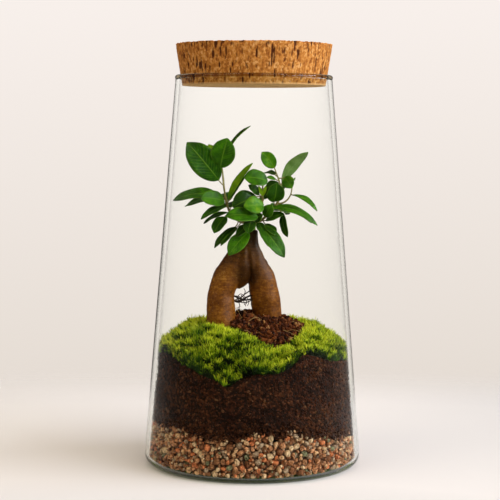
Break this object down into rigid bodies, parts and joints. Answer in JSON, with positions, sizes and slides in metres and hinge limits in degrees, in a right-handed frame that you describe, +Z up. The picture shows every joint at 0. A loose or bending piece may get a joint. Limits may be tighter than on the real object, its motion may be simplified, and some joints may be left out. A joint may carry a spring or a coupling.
{
  "type": "closed glass plant terrarium",
  "caption": "Tapered clear glass jar with a cork, holding gravel, soil, moss and a small fig tree on swollen legs.",
  "frame": {"origin": "middle of the jar's flat foot, on the surface it stands on", "axes": "+Z up along the jar's axis, -Y towards the side seen first"},
  "size_m": [0.155, 0.155, 0.3],
  "materials": {
    "glass": "clear smooth glass, faintly green at the edges",
    "cork": "natural cork with dark pores",
    "gravel": "dry broken gravel, pinkish brown to grey",
    "soil": "moist dark crumbly soil",
    "coir": "reddish brown loose coir crumbs",
    "moss": "soft living moss, yellow-green tips",
    "bark": "smooth tight bark with a slight gloss",
    "leaf": "glossy leathery leaf"
  },
  "bodies": {
    "root": {"glass_jar": "glass", "cork_stopper": "cork", "gravel_bed": "gravel", "soil_layer": "soil", "coir_mound": "coir", "moss_front": "moss", "moss_right": "moss", "moss_back": "moss", "ficus_trunk": "bark", "shoot_left": "leaf", "shoot_centre": "leaf", "shoot_right": "leaf"}
  },
  "joints": []
}
